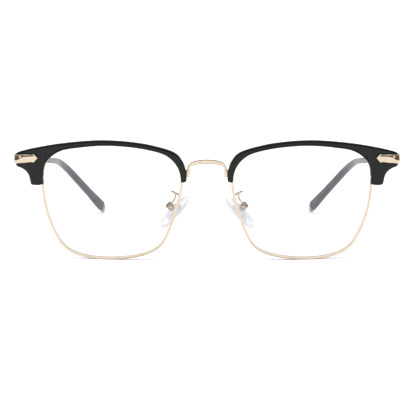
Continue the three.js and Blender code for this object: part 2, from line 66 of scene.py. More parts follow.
EYE_POINTS = [
    (9.7, 28.4), (11.0, 21.4), (14.1, 12.2), (17.35, 6.3), (22.9, 2.95), (35.5, 1.0), (46.1, 1.95),
    (52.1, 4.6), (55.8, 9.8), (59.1, 18.8), (60.4, 29.4), (59.45, 35.6), (54.6, 39.75), (46.6, 41.4),
    (35.5, 42.15), (21.7, 40.75), (14.4, 38.35), (10.6, 34.0),
]
SPLIT_HEIGHT = 30.35
EYEWIRE_WALL = 0.9
EYEWIRE_DEPTH = 2.0
EYEWIRE_LIP = 0.14
EYEWIRE_LIP_FADE = (26.5, 29)  # heights between which the lip fades out, below the brow bar

BROW_FRONT = -3.3
BROW_BACK = 1.35
BROW_LIP_BACK = -1.3
BROW_EDGE = 0.6

PLAQUE_MIDDLE = 37.17
PLAQUE_SLOPE = 0.06
PLAQUE_SIDE_MIDDLE = 37.0
PLAQUE_FRONT = -3.9
PLAQUE_RECESS = -2.75
PLAQUE_BACK = -2.95
PLAQUE_SIDE_IN = 70.4
PLAQUE_SIDE_OUT = 71.3
PLAQUE_REAR = 17.1

TEMPLE_START = Vector((69.45, 17.65, 36.6))
TEMPLE_KNEE = Vector((64.15, 103, 27.7))
TEMPLE_END = Vector((48.55, 144.2, 1.85))
KNEE_REACH = 13
SLEEVE_START = 44

PAD_CENTRE = Vector((12.3, 12.4, 16.6))
PAD_LONG = Vector((0.67, 0.05, -0.742)).normalized()
PAD_SCREW = Vector((0.16, 0.98, 0.18))
PAD_LENGTH = 15
PAD_WIDTH = 7.6
PAD_THICKNESS = 2.7
PAD_SQUARENESS = 0.82  # 1 is an ellipse, less is squarer
LUG_X = -0.8
LUG_Z = 2.75
ARM_RADIUS = 0.37
PAD_BOX_NEAR = 0.95
PAD_BOX_FAR = 1.2
PAD_BOX_SIDE = 1.1
# radius of the dark ring of painted shadow under the pad's screw head
SCREW_SHADOW_RADIUS = 1.04


def bow(x, z):
    """How far back the bowed front lies at x and z."""
    return x * x / (2 * WRAP_RADIUS) + (z - SAG_MIDDLE) ** 2 / (2 * SAG_RADIUS)


def bowed(points):
    points = np.array(points, float)
    points[:, 1] += bow(points[:, 0], points[:, 2])
    return points


# ------------------------------------------------------------------ curves and meshes


def spline(points, per=24, closed=False, power=0.5):
    """Catmull-Rom curve through points; power 0.5 is centripetal and 0 is uniform."""
    p = [np.array(q, float) for q in points]
    if closed:
        p = [p[-1], *p, p[0], p[1]]
    else:
        p = [2 * p[0] - p[1], *p, 2 * p[-1] - p[-2]]
    made = []
    for a, b, c, d in zip(p, p[1:], p[2:], p[3:]):
        d0, d1, d2 = (max(np.linalg.norm(v), 1e-6) ** power for v in (b - a, c - b, d - c))
        out = ((b - a) / d0 - (c - a) / (d0 + d1) + (c - b) / d1) * d1
        into = ((c - b) / d1 - (d - b) / (d1 + d2) + (d - c) / d2) * d1
        for t in np.arange(per) / per:
            square = (3 * c - 3 * b - 2 * out - into) * t**2
            cube = (2 * b - 2 * c + out + into) * t**3
            made.append(b + out * t + square + cube)
    if not closed:
        made.append(p[-2])
    return np.array(made)


def evenly(points, count, closed=False):
    """The same curve with its points spaced evenly along it."""
    p = np.vstack([points, points[:1]]) if closed else np.array(points)
    along = np.concatenate([[0], np.cumsum(np.linalg.norm(np.diff(p, axis=0), axis=1))])
    at = np.linspace(0, along[-1], count, endpoint=not closed)
    return np.stack([np.interp(at, along, p[:, k]) for k in range(p.shape[1])], axis=1)


def rounded(corners, radius, steps=5):
    """A closed outline with each corner rounded; radius is one number or one for each corner."""
    c = np.array(corners, float)
    radii = np.broadcast_to(radius, len(c))
    made = []
    for i, r in enumerate(radii):
        here = c[i]
        before, after = c[i - 1] - here, c[(i + 1) % len(c)] - here
        reach = min(r, 0.49 * np.linalg.norm(before), 0.49 * np.linalg.norm(after))
        start = here + before / np.linalg.norm(before) * reach
        end = here + after / np.linalg.norm(after) * reach
        for t in np.linspace(0, 1, steps + 1):
            made.append((1 - t) ** 2 * start + 2 * t * (1 - t) * here + t**2 * end)
    return np.array(made)


def loft(loops, caps=True):
    """Points and faces of a skin over loops that all have the same number of points."""
    loops = [np.array(loop, float) for loop in loops]
    n = len(loops[0])
    faces = []
    for k in range(len(loops) - 1):
        for i in range(n):
            j = (i + 1) % n
            faces.append((k * n + i, k * n + j, (k + 1) * n + j, (k + 1) * n + i))
    if caps:
        last = (len(loops) - 1) * n
        faces.append(tuple(range(n))[::-1])
        faces.append(tuple(range(last, last + n)))
    return np.vstack(loops), faces


def circle(x, z, radius, count):
    turn = np.linspace(0, 2 * math.pi, count, False)
    return [(x + radius * math.cos(a), z + radius * math.sin(a)) for a in turn]


def prism(outline, low, high):
    """An x, z outline pushed from y = low to y = high."""
    o = np.array(outline, float)
    return loft([np.column_stack([o[:, 0], np.full(len(o), y), o[:, 1]]) for y in (low, high)])


def block(x0, x1, y0, y1, z0, z1):
    return prism([(x0, z0), (x1, z0), (x1, z1), (x0, z1)], y0, y1)


def mesh_of(name, points, faces):
    mesh = bpy.data.meshes.new(name)
    mesh.from_pydata([tuple(p) for p in points], [], faces)
    bm = bmesh.new()
    bm.from_mesh(mesh)
    bmesh.ops.recalc_face_normals(bm, faces=bm.faces)
    bm.to_mesh(mesh)
    bm.free()
    return mesh


def loose(name, shape):
    """A helper object in millimetres that never stays in the scene."""
    made = bpy.data.objects.new(name, mesh_of(name, *shape))
    bpy.context.scene.collection.objects.link(made)
    return made


def carved(blank, tools, voxel, smoothing, adds=()):
    """Adds and cuts shapes with booleans, then rounds every edge a little by remeshing."""
    body = loose("blank", blank)
    others = [(loose("tool", t), "DIFFERENCE") for t in tools] + [(loose("extra", a), "UNION") for a in adds]
    for other, operation in others:
        step = body.modifiers.new("boolean", "BOOLEAN")
        step.object = other
        step.operation = operation
        step.solver = "EXACT"
    remesh = body.modifiers.new("remesh", "REMESH")
    remesh.mode = "VOXEL"
    remesh.voxel_size = voxel
    smooth = body.modifiers.new("smooth", "SMOOTH")
    smooth.factor = 0.5
    smooth.iterations = smoothing
    bpy.context.view_layer.update()
    done = body.evaluated_get(bpy.context.evaluated_depsgraph_get()).to_mesh()
    points = np.zeros(len(done.vertices) * 3)
    done.vertices.foreach_get("co", points)
    faces = [tuple(f.vertices) for f in done.polygons]
    for made in [body] + [o for o, _ in others]:
        bpy.data.objects.remove(made)
    return points.reshape(-1, 3), faces


def bevelled_prism(outline, low, high, front, back, segments):
    """A prism whose edges are bevelled by `front` on its low side and `back` on its high side."""
    shape = prism(outline, low, high)
    mesh = mesh_of("prism", *shape)
    bm = bmesh.new()
    bm.from_mesh(mesh)
    for level, size in ((low, front), (high, back)):
        edges = [e for e in bm.edges if all(abs(v.co.y - level) < 1e-4 for v in e.verts)]
        bmesh.ops.bevel(bm, geom=edges, offset=size, segments=segments, profile=0.5, affect="EDGES")
    points = [tuple(v.co) for v in bm.verts]
    faces = [tuple(v.index for v in f.verts) for f in bm.faces]
    bm.free()
    bpy.data.meshes.remove(mesh)
    return points, faces


def pieces(name, shape, material, body, nodes=(), sharp=32):
    """Adds a piece for each side, on that side's body, in place of that side's CAD nodes."""
    points, faces = shape
    made = []
    for side, sign in SIDES:
        at = (np.array(points, float) * (sign, 1, 1) + DESIGN_SHIFT) * 0.001
        made.append(place(f"{name}_{side}", at, faces, material, body.format(side), sharp))
        if nodes:
            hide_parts(*(f"{n}_{side}" for n in nodes))
    return made


def place(name, points, faces, material, body, sharp=32):
    mesh = mesh_of(name, points, faces)
    mesh.polygons.foreach_set("use_smooth", [True] * len(mesh.polygons))
    mesh.set_sharp_from_angle(angle=math.radians(sharp))
    mesh.materials.append(material)
    made = bpy.data.objects.new(name, mesh)
    bpy.context.scene.collection.objects.link(made)
    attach(made, body)
    return made


# ------------------------------------------------------------------ materials


def shader(name, **values):
    """A new material with a Principled shader, and a coordinate in millimetres."""
    material = bpy.data.materials.new(name)
    material.use_nodes = True
    nodes, links = material.node_tree.nodes, material.node_tree.links
    bsdf = nodes["Principled BSDF"]
    for key, value in values.items():
        bsdf.inputs[key.replace("_", " ")].default_value = value
    where = nodes.new("ShaderNodeTexCoord")
    scale = nodes.new("ShaderNodeMapping")
    scale.inputs["Scale"].default_value = (1000, 1000, 1000)
    links.new(where.outputs["Object"], scale.inputs["Vector"])
    return material, nodes, links, bsdf, scale.outputs["Vector"]


def noise(nodes, links, vector, scale, detail=4, stretch=(1, 1, 1), distortion=0.0):
    """A noise value whose features repeat `scale` times in a millimetre."""
    mapping = nodes.new("ShaderNodeMapping")
    mapping.inputs["Scale"].default_value = stretch
    texture = nodes.new("ShaderNodeTexNoise")
    texture.inputs["Scale"].default_value = scale
    texture.inputs["Detail"].default_value = detail
    texture.inputs["Distortion"].default_value = distortion
    links.new(vector, mapping.inputs["Vector"])
    links.new(mapping.outputs["Vector"], texture.inputs["Vector"])
    return texture.outputs["Fac"]


def drive(nodes, links, value, low, high, socket, start=0.3, end=0.7):
    """Maps a noise value onto a range and joins it to a shader socket."""
    spread = nodes.new("ShaderNodeMapRange")
    spread.inputs["From Min"].default_value = start
    spread.inputs["From Max"].default_value = end
    spread.inputs["To Min"].default_value = low
    spread.inputs["To Max"].default_value = high
    links.new(value, spread.inputs["Value"])
    links.new(spread.outputs["Result"], socket)


def tint(nodes, links, value, stops, socket):
    """A colour ramp between stops of position and colour."""
    ramp = nodes.new("ShaderNodeValToRGB")
    while len(ramp.color_ramp.elements) < len(stops):
        ramp.color_ramp.elements.new(0.5)
    for element, (position, colour) in zip(ramp.color_ramp.elements, stops):
        element.position = position
        element.color = (*colour, 1)
    links.new(value, ramp.inputs["Fac"])
    links.new(ramp.outputs["Color"], socket)


def bump(nodes, links, value, bsdf, height, strength=1.0):
    """Bump of `height` millimetres from a noise value."""
    node = nodes.new("ShaderNodeBump")
    node.inputs["Strength"].default_value = strength
    node.inputs["Distance"].default_value = height * 0.001
    links.new(value, node.inputs["Height"])
    links.new(node.outputs["Normal"], bsdf.inputs["Normal"])


def gold_material(name, bright, deep, rough):
    """Plated metal: a soft change of tone, fine polishing marks and a slightly uneven shine."""
    material, nodes, links, bsdf, at = shader(name, Metallic=1.0, IOR=1.5)
    tone = noise(nodes, links, at, 0.35, 3)
    tint(nodes, links, tone, [(0.3, deep), (0.7, bright)], bsdf.inputs["Base Color"])
    marks = noise(nodes, links, at, 2.2, 8, (1, 1, 6), 0.4)
    drive(nodes, links, marks, rough[0], rough[1], bsdf.inputs["Roughness"])
    bump(nodes, links, marks, bsdf, 0.002, 0.5)
    return material


def brow_material():
    """Black acetate, buffed to a deep shine, with faint swirls and orange peel."""
    material, nodes, links, bsdf, at = shader("black_acetate", IOR=1.4)
    swirl = noise(nodes, links, at, 0.45, 5, distortion=1.6)
    stops = [(0.35, (0.003, 0.003, 0.0032)), (0.7, (0.006, 0.006, 0.0065))]
    tint(nodes, links, swirl, stops, bsdf.inputs["Base Color"])
    haze = noise(nodes, links, at, 3.5, 6, distortion=0.6)
    drive(nodes, links, haze, 0.16, 0.27, bsdf.inputs["Roughness"])
    bump(nodes, links, noise(nodes, links, at, 0.9, 2), bsdf, 0.01, 0.35)
    return material


def tip_material():
    """Smoky plastic: slate with a violet cast, and a painted highlight that turns the last few millimetres
    pale, where the rounded end catches the light.
    """
    material, nodes, links, bsdf, at = shader("slate_plastic", IOR=1.35, Specular_IOR_Level=0.3)
    bsdf.inputs["Coat Weight"].default_value = 0.35
    bsdf.inputs["Coat Roughness"].default_value = 0.05
    cloud = noise(nodes, links, at, 0.16, 5, (1, 0.5, 1), 0.8)
    stops = [(0.3, (0.009, 0.007, 0.017)), (0.55, (0.014, 0.012, 0.026)), (0.75, (0.022, 0.019, 0.038))]
    blend = nodes.new("ShaderNodeMix")
    blend.data_type = "RGBA"
    tint(nodes, links, cloud, stops, blend.inputs["A"])
    # painted highlight: the pale grey mixed in over the tip's rounded end
    blend.inputs["B"].default_value = (0.27, 0.27, 0.31, 1)
    unsigned = nodes.new("ShaderNodeVectorMath")
    unsigned.operation = "ABSOLUTE"
    along = nodes.new("ShaderNodeVectorMath")
    along.operation = "DOT_PRODUCT"
    along.inputs[1].default_value = tuple((TEMPLE_END - TEMPLE_KNEE).normalized())
    links.new(at, unsigned.inputs[0])
    links.new(unsigned.outputs["Vector"], along.inputs[0])
    # the painted highlight eases in from 3.6 mm to 3.0 mm before the tip's end and is full past that
    tip_end_along = (TEMPLE_END + Vector(DESIGN_SHIFT)).dot((TEMPLE_END - TEMPLE_KNEE).normalized())
    low, high = tip_end_along - 3.6, tip_end_along - 3.0
    drive(nodes, links, along.outputs["Value"], 0, 1, blend.inputs["Factor"], low, high)
    links.new(blend.outputs["Result"], bsdf.inputs["Base Color"])
    drive(nodes, links, noise(nodes, links, at, 3.0, 6), 0.16, 0.3, bsdf.inputs["Roughness"])
    bump(nodes, links, noise(nodes, links, at, 1.1, 2), bsdf, 0.01, 0.3)
    return material


def lens_material():
    """Clear coated lens: nearly invisible face on, a soft sheen at a slant, and faint wipe marks."""
    material, nodes, links, bsdf, at = shader("clear_lens", IOR=1.5)
    bsdf.inputs["Base Color"].default_value = (0.93, 0.95, 1.0, 1)
    smear = noise(nodes, links, at, 0.12, 5, (1, 1, 2.5), 1.2)
    drive(nodes, links, smear, 0.03, 0.10, bsdf.inputs["Roughness"])
    slant = nodes.new("ShaderNodeLayerWeight")
    slant.inputs["Blend"].default_value = 0.35
    drive(nodes, links, slant.outputs["Facing"], 0.03, 0.42, bsdf.inputs["Alpha"], 0.2, 1.0)
    return material


def silicone_material():
    """Clear soft silicone with a slightly frosted skin: whiter where it is seen edge on."""
    material, nodes, links, bsdf, at = shader("clear_silicone", IOR=1.41)
    cloud = noise(nodes, links, at, 0.3, 4)
    stops = [(0.3, (0.62, 0.63, 0.67)), (0.7, (0.73, 0.74, 0.78))]
    tint(nodes, links, cloud, stops, bsdf.inputs["Base Color"])
    drive(nodes, links, noise(nodes, links, at, 2.0, 6), 0.22, 0.38, bsdf.inputs["Roughness"])
    bump(nodes, links, noise(nodes, links, at, 4.0, 3), bsdf, 0.004, 0.4)
    slant = nodes.new("ShaderNodeLayerWeight")
    slant.inputs["Blend"].default_value = 0.5
    drive(nodes, links, slant.outputs["Facing"], 0.37, 0.85, bsdf.inputs["Alpha"], 0.1, 1.0)
    return material


def painted_shade_material():
    """Painted shade: a dark brown fill for the shade in the plaque's sunk field and under the pad's screw
    head.
    """
    material, nodes, links, bsdf, at = shader("painted_groove_shade", IOR=1.35)
    grain = noise(nodes, links, at, 5.0, 5)
    stops = [(0.3, (0.045, 0.022, 0.008)), (0.7, (0.12, 0.065, 0.025))]
    tint(nodes, links, grain, stops, bsdf.inputs["Base Color"])
    drive(nodes, links, grain, 0.35, 0.55, bsdf.inputs["Roughness"])
    return material


GOLD = gold_material("pale_gold", (0.92, 0.79, 0.63), (0.86, 0.72, 0.55), (0.12, 0.24))
SMALL_GOLD = gold_material("pale_gold_fittings", (0.86, 0.71, 0.56), (0.72, 0.56, 0.42), (0.16, 0.30))
BLACK = brow_material()
SLATE = tip_material()
CLEAR = lens_material()
SILICONE = silicone_material()
PAINTED_SHADE = painted_shade_material()

# ------------------------------------------------------------------ the eye shape


def eye_outline(count):
    """Points round the lens opening from the split on, with their outward directions."""
    around = evenly(spline(EYE_POINTS, closed=True), count, closed=True)
    outer = [i for i in range(count) if around[i, 0] > 45]
    first = min(outer, key=lambda i: abs(around[i, 1] - SPLIT_HEIGHT))
    around = np.roll(around, -first, axis=0)
    ahead = np.roll(around, -1, axis=0) - np.roll(around, 1, axis=0)
    ahead /= np.linalg.norm(ahead, axis=1)[:, None]
    return around, np.column_stack([ahead[:, 1], -ahead[:, 0]])


def eyewire():
    around, out = eye_outline(264)
    d = EYEWIRE_DEPTH / 2
    lip, under = -EYEWIRE_LIP, 0.07 - d
    wall = EYEWIRE_WALL
    corners = [
        (lip, -d), (wall, -d), (wall, d), (0, d), (0, 0.6), (0.45, 0), (0, -0.6), (0, under), (lip, under),
    ]
    profile = rounded(corners, (0.03, 0.3, 0.22, 0.1, 0.05, 0.1, 0.05, 0.01, 0.02), 4)
    loops = []
    for p, o in zip(around[1:], out[1:]):
        keep = np.interp(p[1], EYEWIRE_LIP_FADE, (1, 0.1))
        reach = [(r if r > 0 else r * keep, y) for r, y in profile]
        loops.append([(p[0] + o[0] * r, y, p[1] + o[1] * r) for r, y in reach])
    points, faces = loft(loops)
    return bowed(points), faces


def lens():
    around, out = eye_outline(200)
    middle = np.array([35.0, 21.5])
    edge = around - out * 0.1
    levels = [(f, 0.9) for f in (0.02, 0.15, 0.3, 0.45, 0.6, 0.75, 0.88, 0.96)]
    rows = [(middle + (edge - middle) * f, y) for f, y in levels]
    rows += [(edge, 0.88), (edge, 0.45), (around + out * 0.28, 0.0), (edge, -0.45), (edge, -0.88)]
    rows += [(middle + (edge - middle) * f, -y) for f, y in reversed(levels)]
    points, faces = loft([np.column_stack([p[:, 0], np.full(len(p), y), p[:, 1]]) for p, y in rows])
    return bowed(points), faces


# ------------------------------------------------------------------ brow bar

BROW_NASAL_END = [(9.4, 29.2), (8.3, 29.2), (7.65, 29.55), (7.4, 30.2)]
BROW_NASAL_TAB = [(7.4, 33.6), (7.75, 33.95)]
BROW_ARCH = [
    (8.05, 35.1), (8.75, 36.6), (10.6, 39.05), (13.5, 40.65), (18.6, 42.1), (24.5, 43.25), (33.3, 44.07),
    (42.2, 44.03), (54.2, 42.8), (64.3, 40.95), (69.7, 39.6),
]
BROW_TIP = [(70.55, 39.25), (70.75, 38.8), (70.75, 34.7), (70.3, 34.2)]
BROW_LUG_OUTER = [(68.4, 33.55), (66.7, 32.3), (65.7, 30.5), (65.15, 27.95)]
BROW_LUG_END = [(64.8, 27.65), (64.15, 27.45), (61.9, 27.45), (61.25, 27.65)]
BROW_SCREWS = ((64.9, 36.75), (7.95, 32.3))
BROW_SCREW_HOLE = 0.48
BROW_LOWEST_NASAL = 29.7
BROW_LOWEST_LUG = 28.1
# How far the brow's inner edge steps back from the lens opening, as distances from the nose and steps.
BROW_STEP = ((46, 56), (0.2, 0))


def brow_outline():
    around, out = eye_outline(240)
    inner = []
    for p, o in zip(around, out):
        lowest = BROW_LOWEST_NASAL if p[0] < 30 else BROW_LOWEST_LUG
        if p[1] > lowest:
            inner.append(p + o * np.interp(p[0], *BROW_STEP))
    start = max(range(len(inner)), key=lambda i: np.linalg.norm(inner[i] - inner[i - 1]))
    inner = inner[start:] + inner[:start]
    ends = [BROW_NASAL_END, BROW_NASAL_TAB, spline(BROW_ARCH, 9, power=0), BROW_TIP]
    return np.vstack([*ends, spline(BROW_LUG_OUTER, 6, power=0), BROW_LUG_END, inner])


def arrow_outline(grow=0.0):
    """The plaque's face: an arrow head with a small waist behind its shoulders, run out to the side."""
    half = [
        (63.7 - grow / 2, 1.65 + grow), (65.0, 1.42 + grow), (66.5, 1.62 + grow),
        (PLAQUE_SIDE_OUT, 1.68 + grow),
    ]
    top = [(62.2 - grow, 0.0), *half]
    outline = top + [(x, -h) for x, h in reversed(half)]
    return [(x, PLAQUE_MIDDLE + PLAQUE_SLOPE * (68 - x) + h) for x, h in outline]


def brow():
    around, out = eye_outline(240)
    blank = bevelled_prism(brow_outline(), BROW_FRONT, BROW_BACK, BROW_EDGE, 0.3, 1)
    channel = prism(around + out * (EYEWIRE_WALL + 0.15), BROW_LIP_BACK, 6)
    rooms = [block(59, 75, BROW_LIP_BACK, 6, 25, 39.35), block(5, 9.6, BROW_LIP_BACK, 6, 27, 34.9)]
    slot = arrow_outline(0.12)
    slot = [(x + (2 if x > 71 else 0), z) for x, z in slot]
    seat = prism(slot, BROW_FRONT - 4, PLAQUE_RECESS)
    low, high = PLAQUE_SIDE_MIDDLE - 1.78, PLAQUE_SIDE_MIDDLE + 1.78
    turn = block(PLAQUE_SIDE_IN - 0.25, 75, BROW_FRONT - 4, 6, low, high)
    holes = []
    for x, z in BROW_SCREWS:
        holes.append(prism(circle(x, z, BROW_SCREW_HOLE, 24), BROW_LIP_BACK - 1, BROW_LIP_BACK + 1))
    points, faces = carved(blank, [channel, *rooms, seat, turn, *holes], 0.16, 3)
    return bowed(points), faces


# ------------------------------------------------------------------ plaque

# The sunk field round the crest, as x and height over the plaque's middle line.
FIELD = [
    (63.7, 1.14), (67.5, 1.17), (68.4, 1.36), (71.15, 1.34), (71.15, -0.4), (69.8, -0.36), (68.9, 0.35),
    (67.5, 0.7), (63.7, 0.78),
]
FIELD_DEPTH = 0.3
CREST = {"x": 69.0, "z": 37.95, "radius": 0.5, "rise": 0.34}


def field_outline(shrink=0.0):
    middle = sum(h for _, h in FIELD) / len(FIELD)
    outline = rounded(FIELD, 0.1, 2)
    level = PLAQUE_MIDDLE + PLAQUE_SLOPE * (68 - outline[:, 0])
    return np.column_stack([outline[:, 0], level + outline[:, 1] * (1 - shrink) + middle * shrink])


def plaque():
    """The arrow face and the plate that runs back along the side, joined by a rounded corner."""
    face = bevelled_prism(arrow_outline(), PLAQUE_FRONT, PLAQUE_BACK, 0.28, 0.05, 3)
    face = (bowed(face[0]), face[1])
    corner_y = bow(PLAQUE_SIDE_OUT, PLAQUE_MIDDLE) + PLAQUE_FRONT
    low, high = PLAQUE_SIDE_MIDDLE - 1.65, PLAQUE_SIDE_MIDDLE + 1.65
    plan = rounded(
        [(PLAQUE_SIDE_IN, corner_y + 0.25), (PLAQUE_SIDE_OUT, corner_y + 0.1), (PLAQUE_SIDE_OUT, PLAQUE_REAR),
         (PLAQUE_SIDE_IN, PLAQUE_REAR)],
        (0.05, 0.8, 0.25, 0.05), 6,
    )
    side = loft([[(x, y, z) for x, y in plan] for z in (low, high)])
    field, faces = prism(field_outline(), PLAQUE_FRONT - 2, PLAQUE_FRONT + FIELD_DEPTH)
    return carved(face, [(bowed(field), faces)], 0.07, 2, adds=[side])


# Painted shade: a thin dark sheet laid in the plaque's sunk field, where the recess lies in shade.
def plaque_field_shade():
    points, faces = prism(field_outline(0.02), PLAQUE_FRONT + FIELD_DEPTH - 0.14, PLAQUE_FRONT + FIELD_DEPTH)
    return bowed(points), faces


def plaque_crest():
    """A small dome in the sunk field, where the field widens."""
    loops = []
    for a in np.linspace(0, math.pi / 2 * 0.97, 9):
        r, h = CREST["radius"] * math.cos(a), CREST["rise"] * math.sin(a)
        turn = np.linspace(0, 2 * math.pi, 28, endpoint=False)
        x, z = CREST["x"] + r * np.cos(turn), CREST["z"] + r * np.sin(turn)
        loops.append(np.column_stack([x, np.full(28, PLAQUE_FRONT + 0.05 - h), z]))
    points, faces = loft(loops)
    return bowed(points), faces


# ------------------------------------------------------------------ bridge


def bridge():
    """A flat arched strip with a foot at each end that is screwed behind the brow bar."""
    half = [(0, -0.4, 36.6), (2.4, -0.3, 36.5), (4.4, -0.2, 36.15), (5.8, -0.1, 35.6), (6.5, 0, 34.8),
            (6.72, 0, 33.8), (6.72, 0.1, 32.3)]
    path = [(-x, y, z) for x, y, z in reversed(half[1:])] + half
    path = evenly(spline(path), 120)
    ahead = np.gradient(path, axis=0)
    ahead /= np.linalg.norm(ahead, axis=1)[:, None]
    loops = []
    for p, t in zip(path, ahead):
        half_thick = np.interp(abs(p[0]), (0, 4.4, 5.8, 6.6), (0.77, 0.7, 0.62, 0.52))
        section = rounded(
            [(half_thick, -1.0), (half_thick, 1.0), (-half_thick, 1.0), (-half_thick, -1.0)], 0.3, 5)
        out = np.array([t[2], 0, -t[0]])
        loops.append([p + out * a + np.array([0, b, 0]) for a, b in section])
    bar = loft(loops)
    feet = []
    for sign in (1, -1):
        foot = rounded([(6.22, 31.05), (8.7, 31.05), (8.7, 33.4), (6.22, 33.4)], (0.35, 0.35, 0.1, 0.1), 4)
        foot[:, 0] *= sign
        feet.append(prism(foot, -0.95, 0.6))
    points, faces = carved(bar, [], 0.1, 2, adds=feet)
    return bowed(points), faces


# ------------------------------------------------------------------ temple


def temple_path():
    """Points and distances along the centre line: straight, a bend over the ear, straight."""
    before = TEMPLE_KNEE + (TEMPLE_START - TEMPLE_KNEE).normalized() * KNEE_REACH
    after = TEMPLE_KNEE + (TEMPLE_END - TEMPLE_KNEE).normalized() * KNEE_REACH
    bend = []
    for t in np.linspace(0, 1, 40):
        bend.append(before * (1 - t) ** 2 + TEMPLE_KNEE * 2 * t * (1 - t) + after * t**2)
    path = np.array([TEMPLE_START, *bend, TEMPLE_END])
    along = np.concatenate([[0], np.cumsum(np.linalg.norm(np.diff(path, axis=0), axis=1))])
    return path, along


TEMPLE_PATH, TEMPLE_ALONG = temple_path()
TEMPLE_LENGTH = TEMPLE_ALONG[-1]


def temple_point(along):
    """A point and the direction at a distance along the temple, which runs on straight past its end."""
    inside = min(along, TEMPLE_LENGTH)
    at, after, before = (
        Vector([np.interp(d, TEMPLE_ALONG, TEMPLE_PATH[:, k]) for k in range(3)])
        for d in (inside, min(inside + 0.5, TEMPLE_LENGTH), max(inside - 0.5, 0))
    )
    ahead = (after - before).normalized()
    return at + ahead * (along - inside), ahead


def temple_loops(stations, step=0.7):
    """Rounded sections along the temple: distance, width, height, corner radius and drop."""
    s = np.array(stations, float)
    count = max(int((s[-1, 0] - s[0, 0]) / step), 2)
    loops = []
    for d in np.unique(np.concatenate([np.linspace(s[0, 0], s[-1, 0], count), s[:, 0]])):
        width, height, corner, drop = (np.interp(d, s[:, 0], s[:, k]) for k in (1, 2, 3, 4))
        p, t = temple_point(d)
        across = t.cross(Vector((0, 0, 1))).normalized()
        up = across.cross(t)
        a, b = width / 2, height / 2
        section = rounded([(a, -b), (a, b), (-a, b), (-a, -b)], corner, 5)
        loops.append([tuple(p + across * u + up * (v - drop)) for u, v in section])
    return loops


def temple_bar():
    start = SLEEVE_START
    stations = [
        (0, 3.2, 3.6, 0.2, 0), (0.25, 3.5, 3.9, 0.4, 0), (6.5, 3.4, 3.7, 0.5, 0), (12, 1.9, 3.0, 0.5, 0),
        (30, 1.5, 2.5, 0.45, 0), (start - 0.5, 1.4, 2.1, 0.4, 0), (start + 0.5, 1.0, 1.3, 0.3, 0),
        (start + 12, 1.0, 1.3, 0.3, 0),
    ]
    return loft(temple_loops(stations))


def temple_tip():
    start, end = SLEEVE_START, TEMPLE_LENGTH - 0.1
    stations = [
        (start, 1.55, 2.1, 0.4, 0), (start + 0.3, 1.85, 2.35, 0.5, 0), (start + 6, 2.1, 2.3, 0.6, 0),
        (75, 2.2, 2.35, 0.65, 0), (99, 2.2, 3.0, 0.7, 0), (118, 2.3, 3.3, 0.75, 0),
        (end - 6.5, 2.5, 4.2, 0.8, 0), (end - 3.5, 2.5, 4.3, 0.8, 0),
        (end - 1.7, 2.4, 3.6, 0.75, 0.3), (end - 0.5, 2.0, 2.6, 0.7, 0.75),
        (end - 0.2, 1.6, 2.0, 0.55, 0.92), (end, 1.1, 1.3, 0.45, 1.06),
    ]
    return loft(temple_loops(stations))


# ------------------------------------------------------------------ nose pad

PAD_Y = (PAD_SCREW - PAD_LONG * PAD_SCREW.dot(PAD_LONG)).normalized()
PAD_Z = PAD_LONG.cross(PAD_Y)


def from_pad(x, y, z):
    return PAD_CENTRE + PAD_LONG * x + PAD_Y * y + PAD_Z * z


def nose_pad():
    """A soft oval cushion, fuller at its lower end, slightly dished on the side that meets the nose."""
    turn = np.linspace(0, 2 * math.pi, 72, endpoint=False)
    half = PAD_THICKNESS / 2
    rows = [(0.02, half), (0.4, half), (0.72, half * 0.98), (0.88, half * 0.8), (0.97, half * 0.45)]
    rows += [(1.0, 0.05), (0.98, -half * 0.42), (0.9, -half * 0.8), (0.76, -half * 0.97)]
    rows += [(0.45, -half * 0.93), (0.02, -half * 0.86)]
    loops = []
    for share, z in rows:
        loop = []
        for a in turn:
            along, across = (math.copysign(abs(v) ** PAD_SQUARENESS, v) for v in (math.cos(a), math.sin(a)))
            taper = 1 + 0.14 * along
            x, y = PAD_LENGTH / 2 * along * share, PAD_WIDTH / 2 * taper * across * share
            loop.append(tuple(from_pad(x, y, z)))
        loops.append(loop)
    return loft(loops)


ARM_PATH = [
    (10.05, 1.5, 24.0), (10.3, 2.6, 24.1), (11.3, 3.9, 24.6), (12.8, 5.4, 25.1), (13.1, 7.2, 24.9),
    (12.2, 8.9, 24.2), (11.7, 10.0, 23.2),
]


def pad_arm():
    """The bent wire that carries the pad's box."""
    top = from_pad(LUG_X - PAD_BOX_FAR - 0.15, 0, LUG_Z + 0.45)
    path = evenly(spline([*ARM_PATH, tuple(top - PAD_LONG), tuple(top)]), 70)
    loops = []
    side = Vector((0, 0, 1))
    for i, p in enumerate(path):
        ahead = Vector(path[min(i + 1, 69)] - path[max(i - 1, 0)]).normalized()
        side = (side - ahead * side.dot(ahead)).normalized()
        up = ahead.cross(side)
        radius = ARM_RADIUS if 0 < i < 69 else ARM_RADIUS - 0.06
        loops.append([tuple(Vector(p) + side * u + up * v) for u, v in circle(0, 0, radius, 16)])
    return loft(loops)


def pad_box():
    """The small box that holds the pad's lug: walled on three sides, with a seam under its outer wall."""
    far, side = PAD_BOX_FAR, PAD_BOX_SIDE
    blank = block(LUG_X - far, LUG_X + far, -side, side, LUG_Z - PAD_BOX_NEAR, LUG_Z + far)
    room = block(LUG_X - 0.85, LUG_X + 3, -0.62, 0.62, LUG_Z - 2, LUG_Z + 0.8)
    seams = [block(LUG_X - 2, LUG_X + 2, *y, LUG_Z + 0.66, LUG_Z + 0.9) for y in ((-2, -0.92), (0.92, 2))]
    points, faces = carved(blank, [room, *seams], 0.06, 2)
    return [tuple(from_pad(*p)) for p in points], faces


def pad_washer():
    """A dark ring of painted shadow under the head of the pad's screw."""
    points, faces = prism(circle(LUG_X, LUG_Z, SCREW_SHADOW_RADIUS, 32), -1.17, -1.09)
    return [tuple(from_pad(*p)) for p in points], faces


# ------------------------------------------------------------------ building

